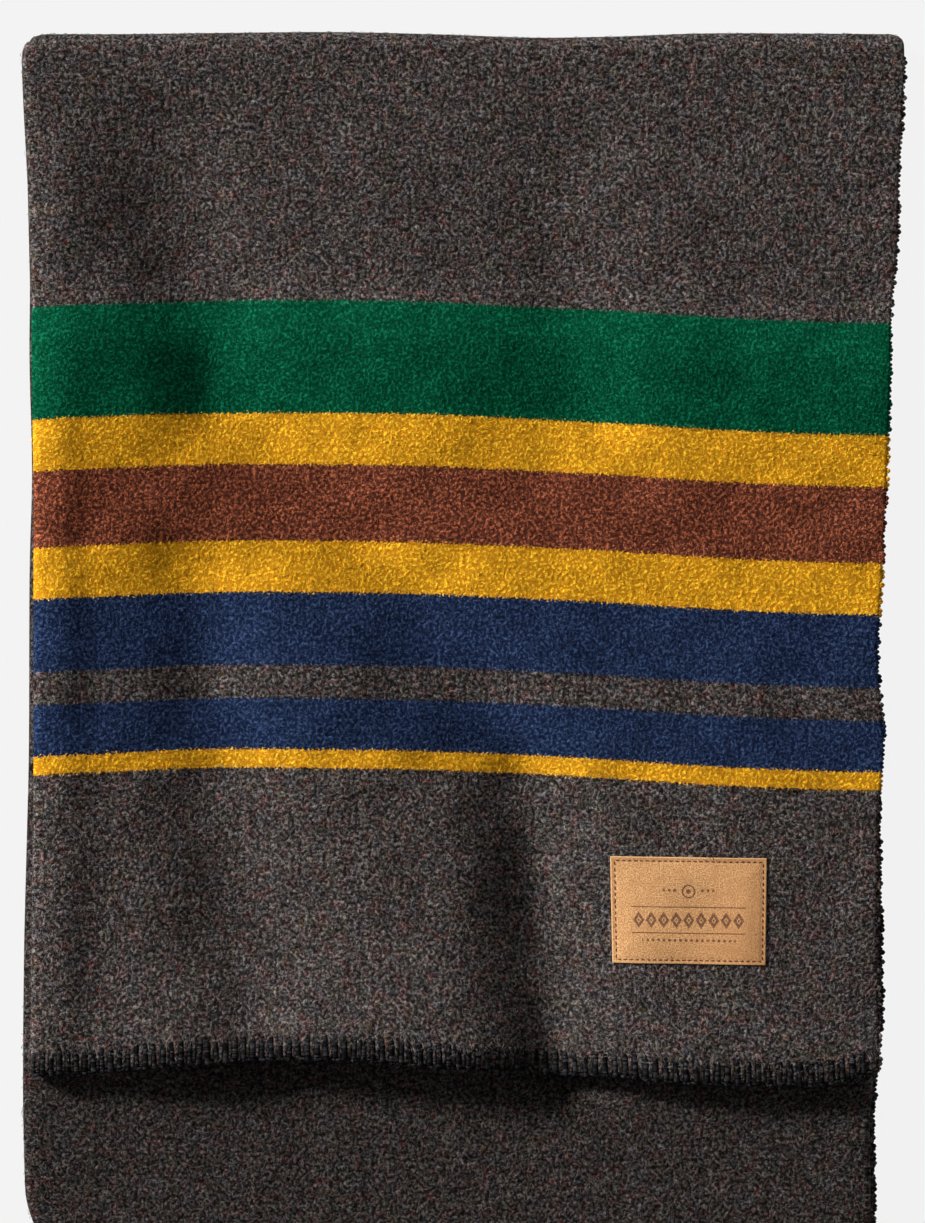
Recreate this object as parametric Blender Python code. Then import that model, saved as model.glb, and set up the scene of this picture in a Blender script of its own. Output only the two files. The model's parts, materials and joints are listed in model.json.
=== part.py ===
"""Camp blanket: one napped wool throw, folded in three across its width and then in three
along its length, so that a striped end lies on top with its stitched edge showing.

Metres, +Z up. The folded blanket lies flat on Z = 0, centred on X and Y. X runs along the
stripes, and +Y points at the top fold. From top to bottom lie the flap, the run and the under
flap. Each of them is three panels of the same cloth, joined at their long sides by two width
folds. The run hinges on the bottom fold, and the flap hinges on the top fold.
"""

import math

import bmesh
import bpy
from mathutils import Matrix, Vector

# The cloth. LAYER_GAP is the air between two panels, SECTION_GAP between two sections. WELD is how
# near a cut point may be to an old one.
BLANKET_WIDTH = 1.372
CLOTH_THICKNESS = 0.0030
LAYER_GAP = 0.0004
SECTION_GAP = 0.0012
PIECE_GAP = 0.0003
WELD = 1e-6

# The three lengths that the blanket's length is folded into, with their folds.
FLAP_LENGTH = 0.552
RUN_LENGTH = 0.650
UNDER_LENGTH = 0.474

# How far the hidden right fold stands back from the free woven edge above it, and how far
# the hidden free edge stops short of the left fold.
RIGHT_SET_BACK = 0.002
INNER_EDGE_GAP = 0.001

# Past the end of the under flap, the run and the flap come down to the floor over this length.
DRAPE_CLEARANCE = 0.004
DRAPE_LENGTH = 0.045
DRAPE_STEPS = 4

# The flap and the run turn about the centre line of their fold, around its outer radius.
HINGE_CLEARANCE = 0.0005
ARC_STEP = math.radians(15)

# The black yarn over the two stitched ends: its depth, pitch, and how far it stands past the cloth.
STITCH_DEPTH = 0.012
STITCH_PITCH = 0.0053
STITCH_LEG = 0.0027
YARN_EDGE = 0.0015
YARN_WALL = 0.00055
YARN_GAP = 0.00025

# The leather patch on the flap, its thread and its place from the flap's right and stitched edges.
PATCH_WIDTH = 0.084
PATCH_HEIGHT = 0.057
PATCH_THICKNESS = 0.0018
PATCH_SIDE_MARGIN = 0.064
PATCH_END_MARGIN = 0.0565
PATCH_TURN = math.radians(-0.7)
PATCH_ROUNDING = 0.0006
THREAD_INSET = 0.0025
THREAD_WIDTH = 0.0007
THREAD_RISE = 0.0003
GROOVE_DEPTH = 0.0006

# Worked out from the above. A layer is one panel with its gap, and a section is three panels.
LAYER_PITCH = CLOTH_THICKNESS + LAYER_GAP
SECTION_HEIGHT = 3 * CLOTH_THICKNESS + 2 * LAYER_GAP
SECTION_PITCH = SECTION_HEIGHT + SECTION_GAP
FOLD_INNER = SECTION_GAP / 2
FOLD_OUTER = FOLD_INNER + SECTION_HEIGHT
FOLD_Z = FOLD_OUTER
TOP_FOLD_Y = RUN_LENGTH / 2 - FOLD_OUTER
BOTTOM_FOLD_Y = -TOP_FOLD_Y
FLAP_END_Y = RUN_LENGTH / 2 - FLAP_LENGTH
UNDER_END_Y = -RUN_LENGTH / 2 + UNDER_LENGTH
DRAPE_START_Y = UNDER_END_Y + DRAPE_CLEARANCE

# The left fold joins the outer two panels of a section, and the right fold joins two neighbours.
LEFT_RADIUS = SECTION_HEIGHT / 2
RIGHT_RADIUS = (LAYER_PITCH + CLOTH_THICKNESS) / 2
FOLD_ARCS = math.pi * (LEFT_RADIUS + RIGHT_RADIUS - CLOTH_THICKNESS)
FOLD_ALLOWANCE = 3 * LEFT_RADIUS + 2 * RIGHT_RADIUS + 2 * RIGHT_SET_BACK + INNER_EDGE_GAP
FOLDED_WIDTH = (BLANKET_WIDTH - FOLD_ARCS + FOLD_ALLOWANCE) / 3
LEFT_X = -FOLDED_WIDTH / 2
RIGHT_X = FOLDED_WIDTH / 2
LEFT_FOLD_X = LEFT_X + LEFT_RADIUS
RIGHT_FOLD_X = RIGHT_X - RIGHT_SET_BACK - RIGHT_RADIUS

# Each panel's two sides: the free one ends in a woven edge at the right, the joined one has a fold
# at both sides, and the inner one ends free inside the left fold.
FREE = (LEFT_FOLD_X + PIECE_GAP, RIGHT_X)
JOINED = (LEFT_FOLD_X + PIECE_GAP, RIGHT_FOLD_X - PIECE_GAP)
INNER = (LEFT_FOLD_X + INNER_EDGE_GAP, RIGHT_FOLD_X - PIECE_GAP)

WOOL_GREY = (0.048, 0.038, 0.034)
YARN_BLACK = (0.008, 0.009, 0.010)
LEATHER_TAN = (0.58, 0.31, 0.12)
THREAD_BROWN = (0.20, 0.10, 0.045)
WOOL_ROUGHNESS = 0.95
YARN_ROUGHNESS = 0.8
PATCH_ROUGHNESS = 0.7


def clear_scene():
    for obj in list(bpy.data.objects):
        bpy.data.objects.remove(obj, do_unlink=True)


def material(name, colour, roughness):
    """One finish with a Principled shader, made new for each piece."""
    made = bpy.data.materials.new(name)
    made.use_nodes = True
    shader = made.node_tree.nodes["Principled BSDF"]
    shader.inputs["Base Color"].default_value = (*colour, 1)
    shader.inputs["Roughness"].default_value = roughness
    shader.inputs["Metallic"].default_value = 0
    return made


def piece(name, bm, colour, roughness, axis=None):
    """Turns a bmesh in world space into a named object, hung on the empty of its joint's axis."""
    bmesh.ops.recalc_face_normals(bm, faces=bm.faces)
    place = axis.matrix_world.translation if axis else Vector((0, 0, 0))
    bmesh.ops.translate(bm, verts=bm.verts, vec=-place)
    mesh = bpy.data.meshes.new(name)
    bm.to_mesh(mesh)
    bm.free()
    obj = bpy.data.objects.new(name, mesh)
    bpy.context.scene.collection.objects.link(obj)
    obj.parent = axis
    mesh.materials.append(material(name, colour, roughness))
    return obj


def axis_empty(name, y, parent=None):
    """The centre line of a fold, which the pieces past it turn about."""
    empty = bpy.data.objects.new(name, None)
    bpy.context.scene.collection.objects.link(empty)
    empty.parent = parent
    empty.location = Vector((0, y, FOLD_Z)) - (parent.matrix_world.translation if parent else Vector())
    bpy.context.view_layer.update()
    return empty


def arc(radius, start, end):
    """Points on a circle from one angle to another, ends included, no further apart than ARC_STEP."""
    steps = max(2, math.ceil(abs(end - start) / ARC_STEP))
    angles = [start + (end - start) * i / steps for i in range(steps + 1)]
    return [(radius * math.cos(a), radius * math.sin(a)) for a in angles]


def extrude_profile(profile, x0, x1):
    """A closed outline of (y, z) points, drawn along X from x0 to x1."""
    bm = bmesh.new()
    face = bm.faces.new([bm.verts.new((x0, y, z)) for y, z in profile])
    drawn = bmesh.ops.extrude_face_region(bm, geom=[face])["geom"]
    moved = [v for v in drawn if isinstance(v, bmesh.types.BMVert)]
    bmesh.ops.translate(bm, verts=moved, vec=(x1 - x0, 0, 0))
    return bm


def sweep_section(section, stations):
    """A closed section of (x, z) points, carried along Y through (y, lift) stations."""
    bm = bmesh.new()
    rings = [[bm.verts.new((x, y, z + lift)) for x, z in section] for y, lift in stations]
    bm.faces.new(rings[0])
    bm.faces.new(rings[-1])
    for near, far in zip(rings, rings[1:]):
        for i in range(len(section)):
            j = (i + 1) % len(section)
            bm.faces.new((near[i], near[j], far[j], far[i]))
    return bm


def smooth(t):
    t = min(max(t, 0.0), 1.0)
    return t * t * (3 - 2 * t)


def run_lift(y):
    """How high the run lies at y: on the under flap, and then down on the floor past its end."""
    return SECTION_PITCH * (1 - smooth((y - DRAPE_START_Y) / DRAPE_LENGTH))


def flap_lift(y):
    return run_lift(y) + SECTION_PITCH


def flat_lift(_y):
    return 0.0


def drape_places(low, high):
    """The places between low and high where a draped panel bends."""
    found = [DRAPE_START_Y + DRAPE_LENGTH * i / DRAPE_STEPS for i in range(DRAPE_STEPS + 1)]
    return [y for y in found if low < y < high]


def layer_z(layer):
    """The lower and upper face of a layer within its section, with layer 0 lowest."""
    return layer * LAYER_PITCH, layer * LAYER_PITCH + CLOTH_THICKNESS


def cut_by_fold(fold_y, side, low, high):
    """A panel's end, hollowed to the fold's circle, from its lower to its upper face.

    side is 1 where the panel lies on the fold's +Y side. Heights are from the fold's centre."""
    reach = FOLD_OUTER + HINGE_CLEARANCE
    points = arc(reach, math.asin(low / reach), math.asin(high / reach))
    return [(fold_y + side * y, z + FOLD_Z) for y, z in points]


def stitched_end(end_y, inward, low, high):
    """A panel's stitched end, thinner for the yarn's depth, from its upper to its lower face."""
    recess = YARN_WALL + YARN_GAP
    shoulder = end_y + inward * (STITCH_DEPTH + PIECE_GAP)
    return [
        (shoulder, high),
        (shoulder, high - recess),
        (end_y, high - recess),
        (end_y, low + recess),
        (shoulder, low + recess),
        (shoulder, low),
    ]


def flap_panel(layer):
    """From the hollow at the top fold along the flap to its stitched end."""
    low, high = layer_z(layer)
    near = cut_by_fold(TOP_FOLD_Y, -1, low + FOLD_INNER, high + FOLD_INNER)
    bends = drape_places(FLAP_END_Y, near[0][0])[::-1]
    lift = flap_lift(FLAP_END_Y)
    over = [(y, high + flap_lift(y)) for y in bends]
    end = stitched_end(FLAP_END_Y, 1, low + lift, high + lift)
    under = [(y, low + flap_lift(y)) for y in bends[::-1]]
    return near + over + end + under


def run_panel(layer):
    """From the hollow at the bottom fold to a straight end at the top fold."""
    low, high = layer_z(layer)
    near = cut_by_fold(BOTTOM_FOLD_Y, 1, low + FOLD_INNER, high + FOLD_INNER)
    far_y = TOP_FOLD_Y - PIECE_GAP
    bends = drape_places(near[0][0], far_y)
    over = [(y, high + run_lift(y)) for y in bends]
    end = [(far_y, high + run_lift(far_y)), (far_y, low + run_lift(far_y))]
    under = [(y, low + run_lift(y)) for y in bends[::-1]]
    return near + over + end + under


def under_panel(layer):
    """Flat on the floor, from a straight end at the bottom fold to its stitched end."""
    low, high = layer_z(layer)
    near_y = BOTTOM_FOLD_Y + PIECE_GAP
    return [(near_y, low), (near_y, high)] + stitched_end(UNDER_END_Y, -1, low, high)


def length_fold(fold_y, outward, layer):
    """A half ring, with its upper end carried on to the circle that the next section turns around."""
    inner = FOLD_INNER + layer * LAYER_PITCH
    outer = inner + CLOTH_THICKNESS
    quarter = math.pi / 2
    ring = arc(outer, -quarter, quarter)
    # The outer ring reaches the circle at its very top, so its arc starts there.
    start = math.asin(min(1.0, outer / FOLD_OUTER))
    end = math.asin(inner / FOLD_OUTER)
    seat = [(-y, z) for y, z in arc(FOLD_OUTER, start, end)]
    if outer > FOLD_OUTER - WELD:
        seat = seat[1:]
    points = ring + seat + arc(inner, quarter, -quarter)
    return [(fold_y + outward * y, FOLD_Z + z) for y, z in points]


def width_fold(centre_x, outward, low_layer, high_layer):
    """A half ring of (x, z) points that joins the outer faces of two layers of a section."""
    low = layer_z(low_layer)[0]
    high = layer_z(high_layer)[1]
    outer = (high - low) / 2
    inner = outer - CLOTH_THICKNESS
    quarter = math.pi / 2
    points = arc(outer, -quarter, quarter) + arc(inner, quarter, -quarter)
    return [(centre_x + outward * x, (low + high) / 2 + z) for x, z in points]


def yarn_sleeve(end_y, inward, low, high):
    """A channel over a stitched end: two walls over its faces and the edge chain past its end."""
    slot_low = low + YARN_WALL
    slot_high = high - YARN_WALL
    open_y = end_y + inward * STITCH_DEPTH
    slot_y = end_y - inward * YARN_GAP
    chain_y = end_y - inward * YARN_EDGE
    return [
        (open_y, high),
        (open_y, slot_high),
        (slot_y, slot_high),
        (slot_y, slot_low),
        (open_y, slot_low),
        (open_y, low),
        (chain_y, low),
        (chain_y, high),
    ]


def stitch_centres(x0, x1):
    count = int((x1 - x0 - STITCH_LEG) / STITCH_PITCH)
    first = (x0 + x1 - count * STITCH_PITCH) / 2
    return [first + i * STITCH_PITCH for i in range(count + 1)]


def backs_of_legs(bm, slot_y, high):
    """The upright faces above the slot that the legs are drawn from."""
    found = []
    for face in bm.faces:
        middle = face.calc_center_median()
        if middle.z > high - YARN_WALL and abs(middle.y - slot_y) < YARN_GAP / 2:
            found.append(face)
    return found


def is_at_a_stitch(face, centres):
    middle = face.calc_center_median().x
    return min(abs(middle - c) for c in centres) < STITCH_LEG / 4


def yarn_comb(end_y, low, high, x0, x1):
    """The visible row: the edge chain with the hidden wall, and one leg on the upper face per stitch."""
    open_y = end_y + STITCH_DEPTH
    slot_y = end_y - YARN_GAP
    chain_y = end_y - YARN_EDGE
    profile = [
        (slot_y, high),
        (slot_y, high - YARN_WALL),
        (slot_y, low + YARN_WALL),
        (open_y, low + YARN_WALL),
        (open_y, low),
        (chain_y, low),
        (chain_y, high),
    ]
    bm = extrude_profile(profile, x0, x1)
    centres = stitch_centres(x0, x1)
    for x in [c + side * STITCH_LEG / 2 for c in centres for side in (-1, 1)]:
        back = backs_of_legs(bm, slot_y, high)
        edges = {e for f in back for e in f.edges}
        verts = {v for f in back for v in f.verts}
        geom = [*back, *edges, *verts]
        bmesh.ops.bisect_plane(bm, geom=geom, plane_co=(x, 0, 0), plane_no=(1, 0, 0), dist=WELD)
    legs = [f for f in backs_of_legs(bm, slot_y, high) if is_at_a_stitch(f, centres)]
    drawn = bmesh.ops.extrude_discrete_faces(bm, faces=legs)["faces"]
    tips = [v for f in drawn for v in f.verts]
    bmesh.ops.translate(bm, verts=tips, vec=(0, open_y - slot_y, 0))
    return bm


def patch_frame(inset, width, height):
    """The corners of a rectangle that far inside the patch's outline."""
    x = width / 2 - inset
    y = height / 2 - inset
    return [(-x, -y), (x, -y), (x, y), (-x, y)]


def leather_patch():
    """A flat slab with eased edges and a groove around its face that the thread lies in."""
    bm = bmesh.new()
    corners = patch_frame(0, PATCH_WIDTH, PATCH_HEIGHT)
    bottom = bm.faces.new([bm.verts.new((x, y, 0)) for x, y in corners])
    drawn = bmesh.ops.extrude_face_region(bm, geom=[bottom])["geom"]
    upper = [v for v in drawn if isinstance(v, bmesh.types.BMVert)]
    bmesh.ops.translate(bm, verts=upper, vec=(0, 0, PATCH_THICKNESS))
    bmesh.ops.recalc_face_normals(bm, faces=bm.faces)
    rim = [e for e in bm.edges if min(v.co.z for v in e.verts) > PATCH_THICKNESS / 2]
    bmesh.ops.bevel(bm, geom=rim, offset=PATCH_ROUNDING, segments=2, affect="EDGES", profile=0.5)
    face = max(bm.faces, key=lambda f: (round(f.calc_center_median().z, 6), f.calc_area()))
    groove_width = THREAD_WIDTH + 2 * PIECE_GAP
    to_groove = THREAD_INSET - PATCH_ROUNDING - groove_width / 2
    bmesh.ops.inset_region(bm, faces=[face], thickness=to_groove, use_even_offset=True)
    ring = bmesh.ops.inset_region(bm, faces=[face], thickness=groove_width, use_even_offset=True)["faces"]
    drawn = bmesh.ops.extrude_face_region(bm, geom=ring)["geom"]
    bmesh.ops.delete(bm, geom=ring, context="FACES")
    floor = [v for v in drawn if isinstance(v, bmesh.types.BMVert)]
    bmesh.ops.translate(bm, verts=floor, vec=(0, 0, -GROOVE_DEPTH))
    return bm


def patch_thread():
    """One closed loop of thread in the patch's groove, standing a little above the leather."""
    bm = bmesh.new()
    low = PATCH_THICKNESS - GROOVE_DEPTH + PIECE_GAP
    high = PATCH_THICKNESS + THREAD_RISE
    outer = patch_frame(THREAD_INSET - THREAD_WIDTH / 2, PATCH_WIDTH, PATCH_HEIGHT)
    inner = patch_frame(THREAD_INSET + THREAD_WIDTH / 2, PATCH_WIDTH, PATCH_HEIGHT)
    sides = ((outer, low), (outer, high), (inner, high), (inner, low))
    rings = [[bm.verts.new((x, y, z)) for x, y in side] for side, z in sides]
    for ring, following in zip(rings, rings[1:] + rings[:1]):
        for i in range(4):
            j = (i + 1) % 4
            bm.faces.new((ring[i], ring[j], following[j], following[i]))
    return bm


def place_on_flap(bm):
    """Turns and moves a piece of the patch onto the flap's upper face."""
    bmesh.ops.rotate(bm, verts=bm.verts, cent=(0, 0, 0), matrix=Matrix.Rotation(PATCH_TURN, 3, "Z"))
    top = flap_lift(FLAP_END_Y) + SECTION_HEIGHT
    x = RIGHT_X - PATCH_SIDE_MARGIN - PATCH_WIDTH / 2
    y = FLAP_END_Y + PATCH_END_MARGIN + PATCH_HEIGHT / 2
    bmesh.ops.translate(bm, verts=bm.verts, vec=(x, y, top + PIECE_GAP))
    return bm


def wool(name, bm, axis=None):
    return piece(name, bm, WOOL_GREY, WOOL_ROUGHNESS, axis)


def yarn(name, bm, axis=None):
    return piece(name, bm, YARN_BLACK, YARN_ROUGHNESS, axis)


def width_folds(prefix, low_y, high_y, lift, turned, axis=None):
    """The two long folds of a section. turned is true where the free panel lies at the bottom."""
    bends = [low_y] + drape_places(low_y, high_y) + [high_y]
    stations = [(y, lift(y)) for y in bends]
    right_layers = (1, 2) if turned else (0, 1)
    left = width_fold(LEFT_FOLD_X, -1, 0, 2)
    right = width_fold(RIGHT_FOLD_X, 1, *right_layers)
    wool(prefix + "_left_fold", sweep_section(left, stations), axis)
    wool(prefix + "_right_fold", sweep_section(right, stations), axis)


def length_folds(prefix, fold_y, outward, sides, axis=None):
    for name, layer, (x0, x1) in zip(("inner", "middle", "outer"), range(3), sides):
        wool(f"{prefix}_{name}", extrude_profile(length_fold(fold_y, outward, layer), x0, x1), axis)


def under_flap():
    """The root: it lies on the floor and carries the bottom fold."""
    panels = (("bottom", 0, JOINED), ("middle", 1, INNER), ("top", 2, FREE))
    for name, layer, (x0, x1) in panels:
        low, high = layer_z(layer)
        wool(f"under_{name}_panel", extrude_profile(under_panel(layer), x0, x1))
        sleeve = yarn_sleeve(UNDER_END_Y, -1, low, high)
        yarn(f"under_stitching_{name}", extrude_profile(sleeve, x0, x1))
    width_folds("under", BOTTOM_FOLD_Y + PIECE_GAP, UNDER_END_Y, flat_lift, False)
    whole = (LEFT_X, RIGHT_X - RIGHT_SET_BACK)
    length_folds("bottom_fold", BOTTOM_FOLD_Y, -1, ((LEFT_X, RIGHT_X), whole, whole))


def run(axis):
    """The section in the middle, which shows past the flap's end, with the top fold."""
    panels = (("bottom", 0, FREE), ("middle", 1, INNER), ("top", 2, JOINED))
    for name, layer, (x0, x1) in panels:
        wool(f"run_{name}_panel", extrude_profile(run_panel(layer), x0, x1), axis)
    near = BOTTOM_FOLD_Y + FOLD_OUTER + HINGE_CLEARANCE
    width_folds("run", near, TOP_FOLD_Y - PIECE_GAP, run_lift, True, axis)
    whole = (LEFT_X, RIGHT_X - RIGHT_SET_BACK)
    length_folds("top_fold", TOP_FOLD_Y, 1, (whole, whole, (LEFT_X, RIGHT_X)), axis)


def top_flap(axis):
    """The striped end that lies on top, with its stitching and the patch."""
    lift = flap_lift(FLAP_END_Y)
    panels = (("back", 0, JOINED), ("middle", 1, INNER), ("front", 2, FREE))
    for name, layer, (x0, x1) in panels:
        low, high = (z + lift for z in layer_z(layer))
        wool(f"flap_{name}_panel", extrude_profile(flap_panel(layer), x0, x1), axis)
        if name == "front":
            row = yarn_comb(FLAP_END_Y, low, high, x0, x1)
        else:
            row = extrude_profile(yarn_sleeve(FLAP_END_Y, 1, low, high), x0, x1)
        yarn(f"flap_stitching_{name}", row, axis)
    near = TOP_FOLD_Y - FOLD_OUTER - HINGE_CLEARANCE
    width_folds("flap", FLAP_END_Y, near, flap_lift, False, axis)
    piece("leather_patch", place_on_flap(leather_patch()), LEATHER_TAN, PATCH_ROUGHNESS, axis)
    piece("patch_thread", place_on_flap(patch_thread()), THREAD_BROWN, PATCH_ROUGHNESS, axis)


clear_scene()
run_axis = axis_empty("bottom_fold_axis", BOTTOM_FOLD_Y)
flap_axis = axis_empty("top_fold_axis", TOP_FOLD_Y, run_axis)
under_flap()
run(run_axis)
top_flap(flap_axis)
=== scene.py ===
"""The looks of a folded wool camp blanket: one napped throw, folded in three across its width and
in three along its length, with a striped end on top, a blanket-stitched edge and a leather patch.

Metres, +Z up. The cloth is one long sheet with its own places: u runs across the throw, from the
free woven edge to the edge inside the folds, v runs along it from the stitched end that lies on
top, and h stands off the middle of the cloth, outwards. cloth_point() says where such a place is.
"""

import json
import math

import bpy
import numpy as np
from mathutils import Matrix, Vector


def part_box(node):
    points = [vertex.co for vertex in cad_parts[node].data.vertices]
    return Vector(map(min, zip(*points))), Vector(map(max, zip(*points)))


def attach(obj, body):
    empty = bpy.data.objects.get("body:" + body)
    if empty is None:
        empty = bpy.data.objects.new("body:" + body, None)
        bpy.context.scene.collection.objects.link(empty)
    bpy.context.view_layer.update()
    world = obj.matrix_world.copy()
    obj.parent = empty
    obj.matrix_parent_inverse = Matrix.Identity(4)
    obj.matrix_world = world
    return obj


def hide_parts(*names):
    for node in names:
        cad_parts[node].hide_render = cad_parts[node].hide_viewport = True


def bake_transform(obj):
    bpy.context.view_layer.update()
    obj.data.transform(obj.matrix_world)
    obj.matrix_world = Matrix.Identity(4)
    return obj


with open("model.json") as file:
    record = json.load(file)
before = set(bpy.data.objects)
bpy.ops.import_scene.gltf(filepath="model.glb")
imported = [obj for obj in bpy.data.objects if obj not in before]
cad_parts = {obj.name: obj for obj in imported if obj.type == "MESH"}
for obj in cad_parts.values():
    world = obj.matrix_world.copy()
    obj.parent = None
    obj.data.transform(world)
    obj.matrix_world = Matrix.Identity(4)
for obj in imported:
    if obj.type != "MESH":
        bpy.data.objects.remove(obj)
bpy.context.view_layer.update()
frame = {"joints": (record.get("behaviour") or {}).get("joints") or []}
bpy.ops.object.select_all(action="DESELECT")

# ---------------------------------------------------------------- the folded sheet, from the frame

# The cloth's thickness, the rise from one layer to the next, and a section of three layers.
CLOTH = 0.0030
LAYER = 0.0034
SECTION = 2 * LAYER + CLOTH

hinges = {joint["name"]: Vector(joint["pos_m"]) for joint in frame["joints"]}
TOP_FOLD_Y = hinges["top_fold"].y
BOTTOM_FOLD_Y = hinges["bottom_fold"].y
FOLD_Z = hinges["top_fold"].z
FOLD_INNER = FOLD_Z - SECTION
LIFT = SECTION + 2 * FOLD_INNER

FLAP_END_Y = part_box("flap_front_panel")[0].y
UNDER_END_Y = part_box("under_top_panel")[1].y
RIGHT_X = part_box("flap_front_panel")[1].x
LEFT_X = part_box("flap_left_fold")[0].x
LEFT_TURN = (SECTION - CLOTH) / 2
RIGHT_TURN = LAYER / 2
LEFT_FOLD_X = LEFT_X + SECTION / 2
RIGHT_FOLD_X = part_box("flap_right_fold")[1].x - RIGHT_TURN - CLOTH / 2
INNER_EDGE_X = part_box("flap_middle_panel")[0].x
TOP_Z = FOLD_Z + FOLD_INNER + LIFT + SECTION

# Past the end of the under flap the upper sections come down to the floor over this length.
DRAPE_START_Y = UNDER_END_Y + 0.004
DRAPE_LENGTH = 0.045

# Where u passes from one panel or width fold to the next.
U_FRONT = RIGHT_X - LEFT_FOLD_X
U_LEFT = U_FRONT + math.pi * LEFT_TURN
U_BACK = U_LEFT + RIGHT_FOLD_X - LEFT_FOLD_X
U_RIGHT = U_BACK + math.pi * RIGHT_TURN
WIDTH = U_RIGHT + RIGHT_FOLD_X - INNER_EDGE_X

# Where v passes from the flap to the top fold, the run, the bottom fold and the under flap.
V_FLAP = TOP_FOLD_Y - FLAP_END_Y
V_TOP = V_FLAP + math.pi * (FOLD_INNER + SECTION - CLOTH / 2)
V_RUN = V_TOP + TOP_FOLD_Y - BOTTOM_FOLD_Y
V_BOTTOM = V_RUN + math.pi * (FOLD_INNER + SECTION / 2)
LENGTH = V_BOTTOM + UNDER_END_Y - BOTTOM_FOLD_Y

# The pieces are parted this far into the flat cloth on both sides of a fold, and this far above
# a stitched end.
SEAM_REACH = 0.008
HEM_DEPTH = 0.0150

# How the real folds lie: the left and right edge at places along v.
LEFT_EDGE = (
    (0.000, -0.2276), (0.037, -0.2272), (0.100, -0.2266), (0.155, -0.2258), (0.240, -0.2258),
    (0.304, -0.2256), (0.347, -0.2262), (0.411, -0.2274), (0.470, -0.2296), (0.544, -0.2330),
    (0.570, -0.2325), (0.640, -0.2306), (0.700, -0.2292), (0.740, -0.2286), (0.790, -0.2274),
    (0.839, -0.2286), (0.944, -0.2292), (1.054, -0.2318), (1.151, -0.2320),
    (1.200, -0.2305), (1.240, -0.2290), (1.400, -0.2262), (1.680, -0.2255),
)
RIGHT_EDGE = (
    (0.000, 0.2262), (0.027, 0.2254), (0.117, 0.2248), (0.149, 0.2258), (0.176, 0.2280),
    (0.230, 0.2250), (0.272, 0.2272), (0.342, 0.2305), (0.376, 0.2318), (0.411, 0.2326),
    (0.443, 0.2361), (0.480, 0.2372), (0.544, 0.2402), (0.570, 0.2390), (0.684, 0.2290),
    (0.884, 0.2255), (1.054, 0.2284), (1.088, 0.2284), (1.104, 0.2263), (1.119, 0.2256),
    (1.134, 0.2242), (1.175, 0.2244), (1.216, 0.2240), (1.400, 0.2240), (1.680, 0.2235),
)

# How far the cloth is pushed along its length at places across it: at the stripes, at the
# stitched end and at the top fold, and over what length each push fades out.
STRIPE_WAVE = (
    (-0.240, 0.0002), (-0.227, 0.0008), (-0.211, 0.0018), (-0.190, 0.0026), (-0.137, 0.0048),
    (-0.067, 0.0049), (-0.014, 0.0039), (0.024, 0.0022), (0.077, -0.0003), (0.130, -0.0037),
    (0.184, -0.0062), (0.232, -0.0073), (0.250, -0.0075),
)
END_WAVE = (
    (-0.240, -0.0024), (-0.227, -0.0022), (-0.190, -0.0001), (-0.153, 0.0031), (-0.110, 0.0062),
    (-0.050, 0.0063), (-0.016, 0.0033), (0.018, 0.0010), (0.050, -0.0020), (0.093, -0.0033),
    (0.109, -0.0052), (0.162, -0.0070), (0.200, -0.0064), (0.219, -0.0020), (0.250, -0.0010),
)
TOP_EDGE_WAVE = (
    (-0.240, 0.0030), (-0.180, 0.0029), (-0.120, 0.0036), (-0.067, 0.0040), (-0.010, 0.0028),
    (0.045, 0.0010), (0.085, 0.0016), (0.130, 0.0032), (0.190, 0.0032), (0.240, 0.0028),
)

STRIPE_WAVE_LENGTH = 0.130
END_WAVE_LENGTH = 0.157
TOP_EDGE_WAVE_Y = 0.240
TOP_EDGE_WAVE_LENGTH = 0.080

# Soft creases and swells of the stack: height, half width, and the line that each follows.
SWELLS = (
    (-0.0034, 0.028, ((-0.146, 0.235), (-0.130, 0.130))),
    (-0.0108, 0.031, ((-0.172, 0.300), (-0.158, 0.253), (-0.146, 0.215), (-0.136, 0.180),
                      (-0.124, 0.136), (-0.086, 0.077), (-0.026, 0.018), (0.018, -0.040),
                      (0.040, -0.099), (0.048, -0.158), (0.056, -0.220))),
    (-0.0034, 0.015, ((0.036, -0.075), (0.044, -0.150), (0.050, -0.222))),
    (-0.0100, 0.029, ((-0.138, 0.030), (-0.128, -0.090), (-0.106, -0.200))),
    (-0.0064, 0.026, ((0.056, 0.262), (0.058, 0.190), (0.062, 0.130))),
    (-0.0030, 0.018, ((0.075, 0.275), (0.150, 0.270))),
    (0.0036, 0.028, ((-0.040, 0.250), (-0.026, 0.180), (-0.008, 0.110))),
    (0.0036, 0.028, ((-0.076, -0.020), (-0.048, -0.100), (-0.016, -0.190))),
    (0.0026, 0.018, ((0.000, -0.090), (0.006, -0.215))),
    (0.0034, 0.055, ((0.098, 0.275), (0.108, 0.215))),
    (0.0024, 0.030, ((0.116, 0.180), (0.118, 0.090))),
    (0.0022, 0.030, ((0.150, -0.020), (0.160, -0.200))),
    (0.0044, 0.013, ((-0.213, 0.250), (-0.211, -0.200))),
    (0.0062, 0.032, ((-0.204, 0.250), (-0.188, 0.120))),
)
RIPPLE = 0.0007

# Past the flap's end the stack is pressed down towards the bottom fold, by this share.
PRESSED_Y = -0.225
PRESSED_LENGTH = 0.085
PRESSED = 0.10

# The middle of the flap's end stands off the run: height, and where along X.
END_LIFT = (
    (-0.240, 0.0000), (-0.200, 0.0008), (-0.160, 0.0060), (-0.090, 0.0085), (0.000, 0.0070),
    (0.060, 0.0042), (0.120, 0.0022), (0.190, 0.0012), (0.250, 0.0004),
)
END_LIFT_LENGTH = 0.075

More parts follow.
